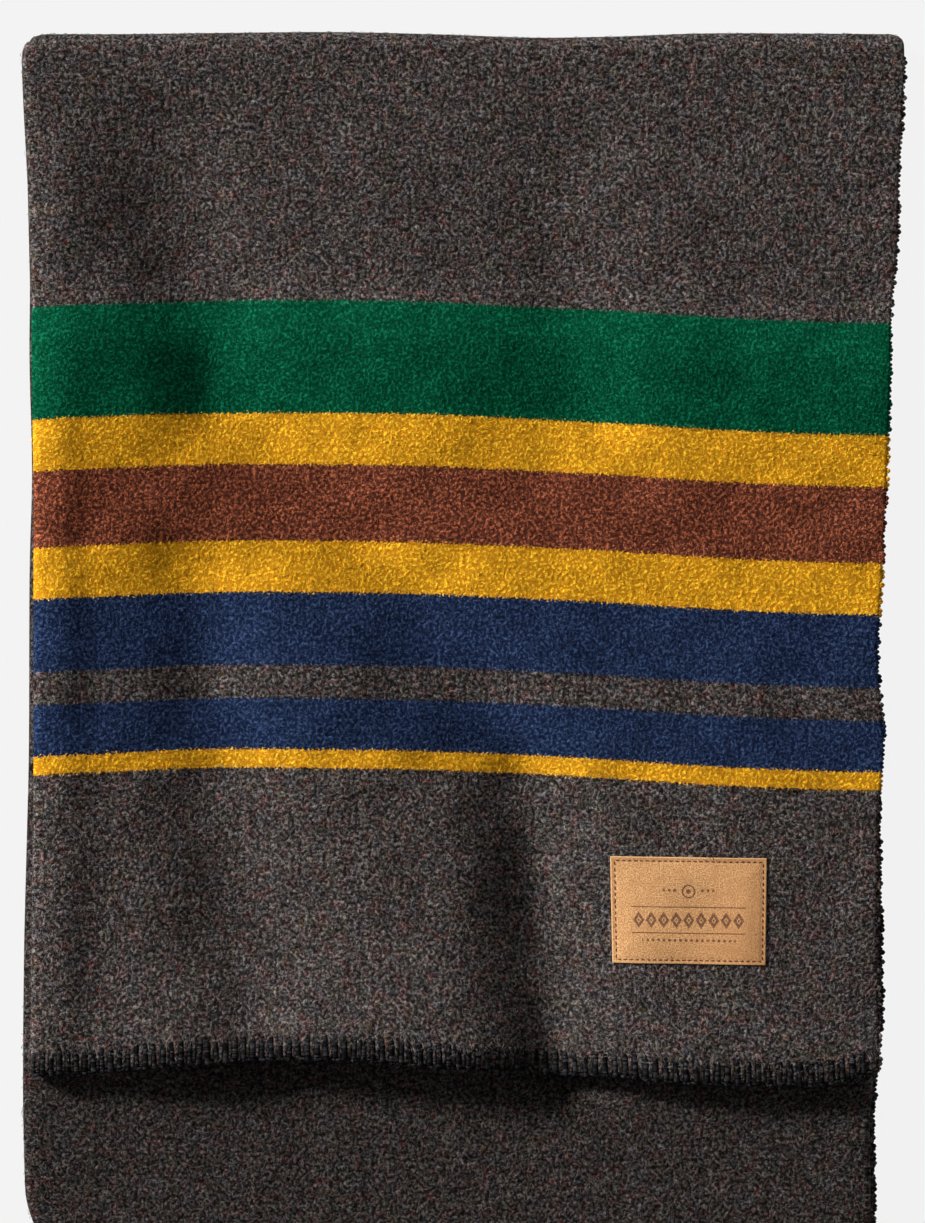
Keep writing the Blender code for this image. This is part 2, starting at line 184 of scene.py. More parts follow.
# The radius in plan of the four corners, and how much of the way they go to a quarter circle.
# The folds are already round at their ends, so that is less than all of it.
CORNER_SHARE = 0.70
TOP_LEFT_ROUND = 0.0140
TOP_RIGHT_ROUND = 0.0070
BOTTOM_LEFT_ROUND = 0.0340
BOTTOM_RIGHT_ROUND = 0.0130

# The swells fade out towards the folds, over this length up to this distance from the middle.
CALM_Y = 0.300
CALM_LENGTH = 0.030


def smooth(t):
    t = np.clip(t, 0.0, 1.0)
    return t * t * (3 - 2 * t)


def curve(points, s):
    """A smooth line through given (place, value) points, read at s."""
    place = np.array([p[0] for p in points])
    value = np.array([p[1] for p in points])
    slope = np.gradient(value, place)
    s = np.clip(s, place[0], place[-1])
    i = np.clip(np.searchsorted(place, s) - 1, 0, len(place) - 2)
    step = place[i + 1] - place[i]
    t = (s - place[i]) / step
    rise = t * t * (3 - 2 * t)
    lead = t * (1 - t) ** 2 * step
    trail = t * t * (t - 1) * step
    return value[i] + (value[i + 1] - value[i]) * rise + slope[i] * lead + slope[i + 1] * trail


def distance_to_line(x, y, points):
    """The distance in plan to a line of straight runs."""
    nearest = np.full(np.shape(x), np.inf)
    for (ax, ay), (bx, by) in zip(points, points[1:]):
        run = np.array([bx - ax, by - ay])
        t = np.clip(((x - ax) * run[0] + (y - ay) * run[1]) / (run @ run), 0, 1)
        nearest = np.minimum(nearest, np.hypot(x - ax - t * run[0], y - ay - t * run[1]))
    return nearest


def swell(x, y):
    """How far the stack's top rises or sinks at a place in plan."""
    total = RIPPLE * np.sin(x * 118 + 1.3 * np.sin(y * 41)) * np.sin(y * 87 + 0.6)
    for height, half_width, line in SWELLS:
        total = total + height * np.exp(-((distance_to_line(x, y, line) / half_width) ** 2))
    return total * (1 - smooth((np.abs(y) - (CALM_Y - CALM_LENGTH)) / CALM_LENGTH))


def run_lift(y):
    """How high the under flap holds up the sections above it."""
    return LIFT * (1 - smooth((y - DRAPE_START_Y) / DRAPE_LENGTH))


def across(u, h):
    """(x, w): the place across the stack, and the height within a section as the flap has it."""
    left = math.pi / 2 + (u - U_FRONT) / LEFT_TURN
    right = -math.pi / 2 + (u - U_BACK) / RIGHT_TURN
    panels = [u < U_FRONT, u < U_LEFT, u < U_BACK, u < U_RIGHT]
    x = np.select(
        panels,
        [
            RIGHT_X - u,
            LEFT_FOLD_X + (LEFT_TURN + h) * np.cos(left),
            LEFT_FOLD_X + u - U_LEFT,
            RIGHT_FOLD_X + (RIGHT_TURN + h) * np.cos(right),
        ],
        RIGHT_FOLD_X - (u - U_RIGHT),
    )
    w = np.select(
        panels,
        [
            2 * LAYER + CLOTH / 2 + h,
            SECTION / 2 + (LEFT_TURN + h) * np.sin(left),
            CLOTH / 2 - h,
            RIGHT_TURN + CLOTH / 2 + (RIGHT_TURN + h) * np.sin(right),
        ],
        LAYER + CLOTH / 2 + h,
    )
    return x, w


def along(w, v):
    """(y, z): through the flap, over the top fold, back through the run and under."""
    flap_y = FLAP_END_Y + v
    run_y = TOP_FOLD_Y - (v - V_TOP)
    over = math.pi * np.clip((v - V_FLAP) / (V_TOP - V_FLAP), 0, 1)
    under = math.pi * np.clip((v - V_RUN) / (V_BOTTOM - V_RUN), 0, 1)
    top_radius = FOLD_INNER + w
    bottom_radius = FOLD_INNER + SECTION - w
    sections = [v < V_FLAP, v < V_TOP, v < V_RUN, v < V_BOTTOM]
    y = np.select(
        sections,
        [
            flap_y,
            TOP_FOLD_Y + top_radius * np.sin(over),
            run_y,
            BOTTOM_FOLD_Y - bottom_radius * np.sin(under),
        ],
        BOTTOM_FOLD_Y + v - V_BOTTOM,
    )
    z = np.select(
        sections,
        [
            run_lift(flap_y) + LIFT + w,
            FOLD_Z + top_radius * np.cos(over),
            run_lift(run_y) + SECTION - w,
            FOLD_Z + bottom_radius * np.cos(under),
        ],
        w,
    )
    return y, z


def round_corner(x, y, corner_x, corner_y, side_x, side_y, radius):
    """Draws the square corner at (corner_x, corner_y) in towards a quarter circle."""
    across_in = np.clip(1 - side_x * (corner_x - x) / radius, 0, None)
    along_in = np.clip(1 - side_y * (corner_y - y) / radius, 0, None)
    size = np.hypot(across_in, along_in)
    inside = (across_in > 0) & (along_in > 0)
    shrink = np.maximum(across_in, along_in) / np.maximum(size, 1e-9)
    shrink = np.where(inside, 1 - CORNER_SHARE * (1 - shrink), 1.0)
    new_x = corner_x - side_x * radius * (1 - across_in * shrink)
    new_y = corner_y - side_y * radius * (1 - along_in * shrink)
    return np.where(inside, new_x, x), np.where(inside, new_y, y)


def cloth_point(u, v, h):
    """Where a place of the cloth lies, as arrays of x, y and z stacked last."""
    u, v, h = np.broadcast_arrays(*(np.asarray(a, float) for a in (u, v, h)))
    x, w = across(u, h)
    y, z = along(w, v)
    left = curve(LEFT_EDGE, v)
    right = curve(RIGHT_EDGE, v)
    x = left + (x - LEFT_X) * (right - left) / (RIGHT_X - LEFT_X)
    top_y = TOP_FOLD_Y + FOLD_INNER + SECTION
    for corner_x, corner_y, side_x, side_y, radius in (
        (left, top_y, -1, 1, TOP_LEFT_ROUND),
        (right, top_y, 1, 1, TOP_RIGHT_ROUND),
        (left, -top_y, -1, -1, BOTTOM_LEFT_ROUND),
        (right, -top_y, 1, -1, BOTTOM_RIGHT_ROUND),
    ):
        x, y = round_corner(x, y, corner_x, corner_y, side_x, side_y, radius)
    on_flap = v < V_FLAP
    stripe_share = smooth((V_FLAP - v) / STRIPE_WAVE_LENGTH)
    end_share = smooth(1 - v / END_WAVE_LENGTH)
    wave = stripe_share * ((1 - end_share) * curve(STRIPE_WAVE, x) + end_share * curve(END_WAVE, x))
    z = z + swell(x, y) * z / TOP_Z
    z = z * (1 - PRESSED * smooth((PRESSED_Y - y) / PRESSED_LENGTH) * (v > V_FLAP))
    z = z + np.where(on_flap, curve(END_LIFT, x) * smooth(1 - v / END_LIFT_LENGTH), 0)
    near_top = smooth((y - TOP_EDGE_WAVE_Y) / TOP_EDGE_WAVE_LENGTH)
    y = y + np.where(on_flap, wave, 0) + curve(TOP_EDGE_WAVE, x) * near_top
    return np.stack([x, y, z], axis=-1)


# ---------------------------------------------------------------- meshes


def new_piece(name, verts, faces, uv, material):
    """A mesh piece with the cloth's (u, v) as its UV map."""
    mesh = bpy.data.meshes.new(name)
    mesh.from_pydata(verts.tolist(), [], faces)
    layer = mesh.uv_layers.new(name="cloth")
    corners = np.empty(len(mesh.loops), np.int32)
    mesh.loops.foreach_get("vertex_index", corners)
    layer.data.foreach_set("uv", uv[corners].astype(np.float32).ravel())
    mesh.shade_smooth()
    mesh.materials.append(material)
    obj = bpy.data.objects.new(name, mesh)
    bpy.context.scene.collection.objects.link(obj)
    return obj


def steps(start, end, size):
    """Even places from start to end, about size apart."""
    return np.linspace(start, end, max(2, round((end - start) / size)) + 1)


def stations(*stretches):
    """Places in a row from (start, end, size) stretches, each place once."""
    return np.unique(np.concatenate([steps(*stretch) for stretch in stretches]).round(7))


def cloth_columns(fine, hidden):
    """The places across the throw where the mesh has a line, closer at its edges and folds."""
    edge = CLOTH / 2
    return stations(
        (0, edge, edge / 3),
        (edge, U_FRONT, fine),
        (U_FRONT, U_LEFT, math.pi * LEFT_TURN / 12),
        (U_LEFT, U_BACK, hidden),
        (U_BACK, U_RIGHT, math.pi * RIGHT_TURN / 8),
        (U_RIGHT, WIDTH - edge, hidden),
        (WIDTH - edge, WIDTH, edge / 3),
    )


def rounded_half(distance):
    """Half the cloth's thickness at this distance from a free edge."""
    t = np.clip(distance / (CLOTH / 2), 0, 1)
    bluntness = 0.15
    return CLOTH / 2 * (bluntness + (1 - bluntness) * np.sqrt(np.maximum(1 - (1 - t) ** 2, 0)))


def closed_sheet(name, us, vs, material, thickness=None):
    """The two faces of a stretch of cloth with its four edges closed."""
    u, v = np.meshgrid(us, vs, indexing="ij")
    half = rounded_half(np.minimum(u, WIDTH - u))
    if thickness is not None:
        half = half * thickness(u, v)
    outer = cloth_point(u, v, half).reshape(-1, 3)
    inner = cloth_point(u, v, -half).reshape(-1, 3)
    n, m = u.shape
    index = np.arange(n * m).reshape(n, m)
    back = index + n * m
    near = (index[:-1, :-1], index[:-1, 1:], index[1:, 1:], index[1:, :-1])
    quads = [np.stack(near, -1).reshape(-1, 4)]
    quads.append(quads[0][:, ::-1] + n * m)
    quads.append(np.stack((index[:-1, 0], index[1:, 0], back[1:, 0], back[:-1, 0]), -1))
    quads.append(np.stack((index[1:, -1], index[:-1, -1], back[:-1, -1], back[1:, -1]), -1))
    quads.append(np.stack((index[0, 1:], index[0, :-1], back[0, :-1], back[0, 1:]), -1))
    quads.append(np.stack((index[-1, :-1], index[-1, 1:], back[-1, 1:], back[-1, :-1]), -1))
    uv = np.stack([u.ravel(), v.ravel()], -1)
    obj = new_piece(
        name, np.vstack([outer, inner]), np.vstack(quads).tolist(), np.vstack([uv, uv]), material
    )
    obj.data.set_sharp_from_angle(angle=math.radians(62))
    return obj


# How far to either side a place is compared with its neighbours, for the way that a tube faces.
NUDGE = 0.0005


def tubes(paths, sideways, half_wide, half_high, sides):
    """Tubes along paths of shape (count, rings, 3). half_wide lies along sideways."""
    count, rings = paths.shape[:2]
    tangent = np.gradient(paths, axis=1)
    tangent /= np.linalg.norm(tangent, axis=2, keepdims=True)
    upward = np.cross(tangent, sideways)
    upward /= np.linalg.norm(upward, axis=2, keepdims=True)
    side = np.cross(upward, tangent)
    turn = np.arange(sides) * 2 * math.pi / sides
    wide = (half_wide[..., None] * np.cos(turn))[..., None]
    high = (half_high[..., None] * np.sin(turn))[..., None]
    verts = paths[:, :, None] + wide * side[:, :, None] + high * upward[:, :, None]
    # The yarn that the blanket lies on is pressed flat, no lower than the cloth.
    verts[..., 2] = np.maximum(verts[..., 2], 0.0)
    index = np.arange(count * rings * sides).reshape(count, rings, sides)
    after = np.roll(index, -1, axis=2)
    walls = (index[:, :-1], after[:, :-1], after[:, 1:], index[:, 1:])
    faces = np.stack(walls, -1).reshape(-1, 4).tolist()
    faces += index[:, 0, ::-1].reshape(-1, sides).tolist()
    faces += index[:, -1].reshape(-1, sides).tolist()
    return verts.reshape(-1, 3), faces


def mapped_tubes(name, u, v, h, half_wide, half_high, sides, material):
    """Tubes whose paths are given as places of the cloth, arrays of shape (count, rings)."""
    paths = cloth_point(u, v, h)
    sideways = cloth_point(u + NUDGE, v, h) - cloth_point(u - NUDGE, v, h)
    along_v = np.abs(np.gradient(v, axis=1)).sum() >= np.abs(np.gradient(u, axis=1)).sum()
    if not along_v:
        sideways = cloth_point(u, v + NUDGE, h) - cloth_point(u, v - NUDGE, h)
    verts, faces = tubes(paths, sideways, half_wide, half_high, sides)
    uv = np.repeat(np.stack([u, v], -1).reshape(-1, 2), sides, axis=0)
    return new_piece(name, verts, faces, uv, material)


# ---------------------------------------------------------------- materials


class Finish:
    """A Principled material with short calls for its nodes."""

    def __init__(self, name, roughness):
        self.material = bpy.data.materials.new(name)
        self.material.use_nodes = True
        self.tree = self.material.node_tree
        self.shader = self.tree.nodes["Principled BSDF"]
        self.shader.inputs["Roughness"].default_value = roughness

    def node(self, kind, inputs=(), **settings):
        made = self.tree.nodes.new("ShaderNode" + kind)
        for key, value in settings.items():
            setattr(made, key, value)
        for key, value in dict(inputs).items():
            self.feed(made.inputs[key], value)
        return made

    def feed(self, socket, value):
        if isinstance(value, bpy.types.NodeSocket):
            self.tree.links.new(value, socket)
        else:
            socket.default_value = value

    def math(self, operation, *values):
        made = self.node("Math", operation=operation)
        for socket, value in zip(made.inputs, values):
            self.feed(socket, value)
        return made.outputs[0]

    def product(self, *values):
        result = values[0]
        for value in values[1:]:
            result = self.math("MULTIPLY", result, value)
        return result

    def off(self, value, place):
        """The distance of a value from a place."""
        return self.math("ABSOLUTE", self.math("SUBTRACT", value, place))

    def between(self, value, low, high, to_low=0.0, to_high=1.0):
        """A smooth change from to_low to to_high as the value goes from low to high."""
        made = self.node("MapRange", interpolation_type="SMOOTHSTEP")
        for socket, number in zip(made.inputs, (value, low, high, to_low, to_high)):
            self.feed(socket, number)
        return made.outputs[0]

    def noise(self, vector, scale, detail=0.0, flat=True):
        made = self.node(
            "TexNoise",
            {"Vector": vector, "Scale": scale, "Detail": detail},
            noise_dimensions="2D" if flat else "3D",
        )
        return made.outputs["Fac"]

    def mix(self, share, first, second, blend="MIX"):
        made = self.node("Mix", data_type="RGBA", blend_type=blend)
        self.feed(made.inputs["Factor"], share)
        self.feed(made.inputs[6], first)
        self.feed(made.inputs[7], second)
        return made.outputs[2]

    def bands(self, place, span, stops):
        """Hard bands of colour: stops are (start, colour) along 0 to span."""
        made = self.node("ValToRGB")
        made.color_ramp.interpolation = "CONSTANT"
        elements = made.color_ramp.elements
        while len(elements) < len(stops):
            elements.new(0.5)
        for element, (start, colour) in zip(elements, stops):
            element.position = start / span
            element.color = (*colour, 1)
        self.feed(made.inputs["Fac"], self.math("DIVIDE", place, span))
        return made.outputs["Color"]

    def moved(self, vector, place, turn, size):
        """The vector as seen from a grid at place, turned, with cells of that size."""
        made = self.node("Mapping", vector_type="TEXTURE")
        for key, value in (("Location", place), ("Rotation", (0, 0, turn)), ("Scale", size)):
            made.inputs[key].default_value = value
        self.feed(made.inputs["Vector"], vector)
        return made.outputs["Vector"]

    def relief(self, height, distance, strength):
        made = self.node("Bump", {"Height": height, "Distance": distance, "Strength": strength})
        self.feed(self.shader.inputs["Normal"], made.outputs["Normal"])


# Each yarn colour: its shade down in the nap, darkened with painted shade between the raised
# fibres, and the shade of its raised fibres, lightened with their painted highlight. In the grey
# the dark and light fibres are also the yarn's own mix.
YARNS_WITH_PAINTED_LIGHT = {
    "grey": ((0.0066, 0.0051, 0.0048), (0.180, 0.160, 0.154)),
    "green": ((0.00080, 0.0330, 0.0140), (0.0062, 0.142, 0.067)),
    "yellow": ((0.4100, 0.1560, 0.0060), (0.980, 0.560, 0.0290)),
    "brown": ((0.0390, 0.0115, 0.0090), (0.430, 0.122, 0.056)),
    "navy": ((0.0044, 0.0080, 0.0260), (0.042, 0.072, 0.155)),
}

# The stripes of both ends, by their distance from the stitched end.
STRIPES = (
    (0.0000, "grey"), (0.1562, "yellow"), (0.1650, "navy"), (0.1924, "grey"), (0.2100, "navy"),
    (0.2492, "yellow"), (0.2756, "brown"), (0.3182, "yellow"), (0.3441, "green"), (0.4055, "grey"),
)
STRIPES_SPAN = 0.5

# The stripes' borders wander by this much, more in the raised fibres than down in the nap.
FRAY_SCALE = 950.0
FRAY_HIGH = 0.0062
FRAY_LOW = 0.0030

# In the grey yarn only: the share of coloured strands, and the patches with a rust or olive cast
# (how small they are, where they start and end in the noise, and the cast).
FLECK_SHARE = 0.30
GREY_CASTS = (
    (130.0, 0.48, 0.74, (1.17, 0.92, 0.90)),
    (95.0, 0.50, 0.76, (0.97, 1.01, 0.92)),
)

# How much lighter and darker the cloth gets from tuft to tuft, and the grey more than that, how
# dark it is under the stitches of an end, and the painted shade on the cloth past the top fold,
# which stands in for the flap's shadow on the run and the dimmer look of a nap lying the other way.
HEATHER = 0.10
HEATHER_GREY = 0.24
CLOUDS = 0.12
DRAWN_SHADE = 0.42
RUN_PAINTED_SHADE = 0.62

# Curled fibres are the level lines of soft noises: turn, cell size and how thin the lines are.
CURLS = (
    (0.4, (0.0013, 0.0019), 0.062),
    (1.9, (0.0011, 0.0015), 0.058),
)
# Straighter fibres: turn, length and width.
STRANDS = (
    (0.30, (0.0026, 0.00050)),
    (1.35, (0.0022, 0.00046)),
    (2.50, (0.0024, 0.00048)),
)


def nap(finish, vector):
    """How far each place is covered by raised fibres, from 0 to 1."""
    covered = None
    for i, (turn, (length, width), thin) in enumerate(CURLS):
        cell = finish.moved(vector, (0.31 * i, 0.17 * i, 0), turn, (length, width, 1))
        layer = finish.between(finish.off(finish.noise(cell, 1.0), 0.5), thin, thin * 0.25)
        covered = layer if covered is None else finish.math("MAXIMUM", covered, layer)
    for i, (turn, (length, width)) in enumerate(STRANDS):
        cell = finish.moved(vector, (0.13 * i, 0.37 * i, 0), turn, (length, width, 1))
        layer = finish.between(finish.noise(cell, 1.0), 0.58, 0.72)
        covered = finish.math("MAXIMUM", covered, layer)
    lit = finish.between(finish.noise(vector, 520.0, 1.0), 0.34, 0.68, 0.12, 1.0)
    return finish.product(covered, lit)


def striped(finish, place, shade):
    """The stripes in one of the two shades of their yarns."""
    return finish.bands(place, STRIPES_SPAN, [(start, YARNS_WITH_PAINTED_LIGHT[yarn][shade]) for start, yarn in STRIPES])


def fleck_tint(finish, uv):
    """Red, olive and blue strands, which change from one small patch of the cloth to the next."""
    tint = finish.node("ValToRGB")
    tint.color_ramp.interpolation = "CONSTANT"
    shades = ((0.0, (0.06, 0.08, 0.11)), (0.42, (0.22, 0.045, 0.030)), (0.56, (0.11, 0.085, 0.02)))
    tint.color_ramp.elements.new(0.5)
    for element, (start, shade) in zip(tint.color_ramp.elements, shades):
        element.position = start
        element.color = (*shade, 1)
    finish.feed(tint.inputs["Fac"], finish.noise(uv, 90.0))
    return tint.outputs["Color"]


def grey_strands(finish, uv, grey, colour):
    """Coloured strands and faint casts, where grey is 1."""
    strand = finish.moved(uv, (2, 5, 0), 0.8, (0.0026, 0.0013, 1))
    fleck = finish.between(finish.noise(strand, 1.0), 0.66, 0.76)
    colour = finish.mix(finish.product(fleck, grey, FLECK_SHARE), colour, fleck_tint(finish, uv))
    for scale, low, high, cast in GREY_CASTS:
        share = finish.product(finish.between(finish.noise(uv, scale, 1.0), low, high), grey)
        colour = finish.mix(share, colour, (*cast, 1), "MULTIPLY")
    return colour


def wool_level(finish, uv, v, from_end, grey):
    """How light the cloth is at each place, as a grey to multiply its colour by."""
    reach = finish.math("MULTIPLY_ADD", grey, HEATHER_GREY, HEATHER)
    heather = finish.between(finish.noise(uv, 230.0, 1.0), 0.25, 0.75, -1.0, 1.0)
    heather = finish.math("MULTIPLY_ADD", heather, reach, 1.0)
    cloudy = finish.between(finish.noise(uv, 60.0, 1.0), 0.25, 0.75, 1 - CLOUDS, 1 + CLOUDS)
    drawn = finish.between(from_end, 0.0005, 0.0125, DRAWN_SHADE, 1.0)
    # Past the top fold the cloth is darkened with painted shade, for the flap's shadow on the run.
    run_painted_shade = finish.between(v, V_FLAP, V_TOP, 1.0, RUN_PAINTED_SHADE)
    level = finish.product(heather, cloudy, drawn, run_painted_shade)
    shade = finish.node("CombineColor")
    for socket in shade.inputs[:3]:
        finish.feed(socket, level)
    return shade.outputs[0]


def wool(name, loose=False):
    """Napped heather wool in its stripes, with painted shade down in the nap and a painted
    highlight on the raised fibres. Loose fibres have only the shade of the raised ones.
    """
    finish = Finish(name, 0.95)
    uv = finish.node("UVMap", uv_map="cloth").outputs["UV"]
    v = finish.node("SeparateXYZ", {"Vector": uv}).outputs["Y"]
    from_end = finish.math("MINIMUM", v, finish.math("SUBTRACT", LENGTH, v))
    fray = finish.math("SUBTRACT", finish.noise(uv, FRAY_SCALE, 1.0), 0.5)
    # high is the raised fibres' colour with a painted highlight, low the colour down in the nap with
    # painted shade.
    high = striped(finish, finish.math("MULTIPLY_ADD", fray, FRAY_HIGH, from_end), 1)
    low = striped(finish, finish.math("MULTIPLY_ADD", fray, FRAY_LOW, from_end), 0)
    if loose:
        fibres = finish.between(finish.noise(uv, 500.0), 0.25, 0.75, 0.45, 1.5)
    else:
        fibres = nap(finish, uv)
    is_grey = [(start, (1, 1, 1) if yarn == "grey" else (0, 0, 0)) for start, yarn in STRIPES]
    grey = finish.bands(from_end, STRIPES_SPAN, is_grey)
    colour = grey_strands(finish, uv, grey, finish.mix(fibres, low, high))
    level = wool_level(finish, uv, v, from_end, grey)
    finish.feed(finish.shader.inputs["Base Color"], finish.mix(1.0, colour, level, "MULTIPLY"))
    finish.shader.inputs["Specular IOR Level"].default_value = 0.0
    if not loose:
        finish.relief(fibres, 0.0007, 0.7)
    return finish.material


def yarn_finish():
    """Black wool yarn with a little grey on its raised fibres, which is a painted highlight."""
    finish = Finish("edge_yarn_wool", 1.0)
    uv = finish.node("UVMap", uv_map="cloth").outputs["UV"]
    fibres = nap(finish, uv)
    # The grey of the raised fibres is a painted highlight.
    colour = finish.mix(fibres, (0.0022, 0.0022, 0.0026, 1), (0.034, 0.034, 0.037, 1))
    finish.feed(finish.shader.inputs["Base Color"], colour)
    finish.shader.inputs["Specular IOR Level"].default_value = 0.0
    finish.relief(fibres, 0.0004, 0.6)
    return finish.material


# The patch, how deep it presses into the nap, how it lies out of square, and its line of thread.
PATCH_WIDTH = 0.0840
PATCH_HEIGHT = 0.0570
PATCH_THICKNESS = 0.0018
PATCH_SUNK = 0.0009
PATCH_LEAN = 0.0019
PATCH_SHIFT = 0.0009
PATCH_TURN = math.radians(-0.7)
THREAD_INSET = 0.0021
THREAD_HALF = 0.00034
PATCH_STITCH = 0.0022
PATCH_STITCH_PITCH = 0.0032

# The print on it is a plain pattern: two rules, a row of lozenges between them, a ring with a dot
# above and rows of dots. Places are from the patch's centre.
PRINT_SOFT = 0.00012
RULES = (0.0018, -0.0121)
RULE_HALF_LENGTH = 0.0310
RULE_HALF_WIDTH = 0.00030
LOZENGE_ROW = -0.00515
LOZENGE_ROW_HALF = 0.0306
LOZENGE_PITCH = 0.0068
LOZENGE_HALF = (0.0030, 0.0043)
RING_ROW = 0.0102
RING_RADIUS = 0.0033
RING_HALF_WIDTH = 0.0004
DOT_PITCH = 0.0030
DOT_RADIUS = 0.00080
DOT_ROWS = (
    (-0.0159, 0.0, 0.0255),
    (0.0108, 0.0062, 0.0140),
)

LEATHER_DARK = (0.345, 0.160, 0.060, 1)
LEATHER_LIGHT = (0.700, 0.392, 0.172, 1)
LEATHER_MOTTLE = (0.420, 0.200, 0.075, 1)
LEATHER_RIM_DARK = (0.400, 0.180, 0.060, 1)
LEATHER_RAW_AND_HIGHLIGHT = (0.640, 0.390, 0.190, 1)
LEATHER_REDDER_AND_SHADE = (0.400, 0.175, 0.062, 1)
PRINT_BROWN = (0.120, 0.046, 0.026, 1)


def within(finish, value, reach):
    """1 where the value is under reach, with a soft edge."""
    return finish.between(value, reach + PRINT_SOFT, reach - PRINT_SOFT)


def rules(finish, b, wide):
    upper, lower = (within(finish, finish.off(b, row), RULE_HALF_WIDTH) for row in RULES)
    return finish.product(finish.math("MAXIMUM", upper, lower), within(finish, wide, RULE_HALF_LENGTH))


def lozenges(finish, a, b, wide):
    """Outlined lozenges with a solid heart."""
    half_wide, half_high = LOZENGE_HALF
    aside = finish.math("DIVIDE", finish.math("PINGPONG", a, LOZENGE_PITCH / 2), half_wide)
    rise = finish.math("DIVIDE", finish.off(b, LOZENGE_ROW), half_high)
    share = finish.math("ADD", aside, rise)
    outline = finish.product(finish.between(share, 1.06, 0.98), finish.between(share, 0.40, 0.48))
    heart = finish.between(share, 0.24, 0.16)
    return finish.product(finish.math("MAXIMUM", outline, heart), within(finish, wide, LOZENGE_ROW_HALF))


def distance(finish, x, y):
    return finish.math("SQRT", finish.math("ADD", finish.product(x, x), finish.product(y, y)))


def ring(finish, a, b):
    radius = distance(finish, a, finish.off(b, RING_ROW))
    circle = within(finish, finish.off(radius, RING_RADIUS), RING_HALF_WIDTH)
    return finish.math("MAXIMUM", circle, finish.between(radius, 0.0014, 0.0011))


def dots(finish, a, b, wide, row, start, end):
    """A row of dots at b = row, from start to end on both sides of the middle."""
    aside = finish.math("PINGPONG", finish.math("ADD", a, DOT_PITCH / 2), DOT_PITCH / 2)
    marks = within(finish, distance(finish, aside, finish.off(b, row)), DOT_RADIUS)
    marks = finish.product(marks, within(finish, wide, end))
    if start:
        marks = finish.product(marks, finish.between(wide, start - PRINT_SOFT, start + PRINT_SOFT))
    return marks


def printed_marks(finish, uv, a, b):
    """1 where the print is, a little less where it is worn."""
    wide = finish.math("ABSOLUTE", a)
    groups = [rules(finish, b, wide), lozenges(finish, a, b, wide), ring(finish, a, b)]
    groups += [dots(finish, a, b, wide, *row) for row in DOT_ROWS]
    marks = groups[0]
    for group in groups[1:]:
        marks = finish.math("MAXIMUM", marks, group)
    worn = finish.between(finish.noise(uv, 900.0, 1.0), 0.30, 0.62, 0.70, 1.0)
    return finish.product(marks, worn)


def leather_finish():
    """Tan suede-like leather with a paler raw edge, partly a painted highlight, and a brown printed
    pattern.
    """
    finish = Finish("patch_suede", 0.75)
    uv = finish.node("UVMap", uv_map="leather").outputs["UV"]
    parts = finish.node("SeparateXYZ", {"Vector": uv}).outputs
    a, b = parts["X"], parts["Y"]
    marks = printed_marks(finish, uv, a, b)
    grain = finish.noise(uv, 1300.0, 3.0)
    tan = finish.mix(finish.between(grain, 0.32, 0.68), LEATHER_DARK, LEATHER_LIGHT)
    mottle = finish.between(finish.noise(uv, 170.0, 3.0), 0.40, 0.75, 0.0, 0.45)
    tan = finish.mix(mottle, tan, LEATHER_MOTTLE)
    to_side = finish.math("SUBTRACT", PATCH_WIDTH / 2, finish.math("ABSOLUTE", a))
    to_end = finish.math("SUBTRACT", PATCH_HEIGHT / 2, finish.math("ABSOLUTE", b))
    inset = finish.math("MINIMUM", to_side, to_end)
    # A darker band from the line of thread out to the edge.
    tan = finish.mix(finish.between(inset, 0.0026, 0.0014, 0.0, 0.18), tan, LEATHER_RIM_DARK)
    # The outermost millimetre, all round, is paler: the raw cut's own colour and a painted highlight of
    # the edge.
    tan = finish.mix(finish.between(inset, 0.0010, 0.0003, 0.0, 0.45), tan, LEATHER_RAW_AND_HIGHLIGHT)
    # The leather is a little redder and darker towards its lower right corner, away from the key light:
    # partly a redder tone of its own, partly painted shade.
    cornerwise = finish.math("MULTIPLY_ADD", b, -0.6, a)
    tan = finish.mix(finish.between(cornerwise, -0.020, 0.060, 0.0, 0.38), tan, LEATHER_REDDER_AND_SHADE)
    colour = finish.mix(finish.product(marks, 0.95), tan, PRINT_BROWN)
    finish.feed(finish.shader.inputs["Base Color"], colour)
    finish.shader.inputs["Specular IOR Level"].default_value = 0.2
    finish.relief(finish.math("MULTIPLY_ADD", marks, -0.8, grain), 0.00025, 0.5)
    return finish.material


def thread_finish():
    """Rust brown sewing thread."""
    finish = Finish("patch_thread_brown", 0.7)
    place = finish.node("TexCoord").outputs["Object"]
    strands = finish.noise(place, 2600.0, 1.0, flat=False)
    colour = finish.mix(strands, (0.110, 0.032, 0.012, 1), (0.240, 0.082, 0.032, 1))
    finish.feed(finish.shader.inputs["Base Color"], colour)
    finish.relief(strands, 0.0002, 0.5)
    return finish.material


wool_finish = wool("napped_wool")
loose_finish = wool("loose_wool_fibres", loose=True)
yarn_black = yarn_finish()

# ---------------------------------------------------------------- the cloth

FRONT_GRID = 0.0042
HIDDEN_GRID = 0.0120
LENGTH_GRID = 0.0042
UNDER_GRID = 0.0060
FOLD_STEPS = 20

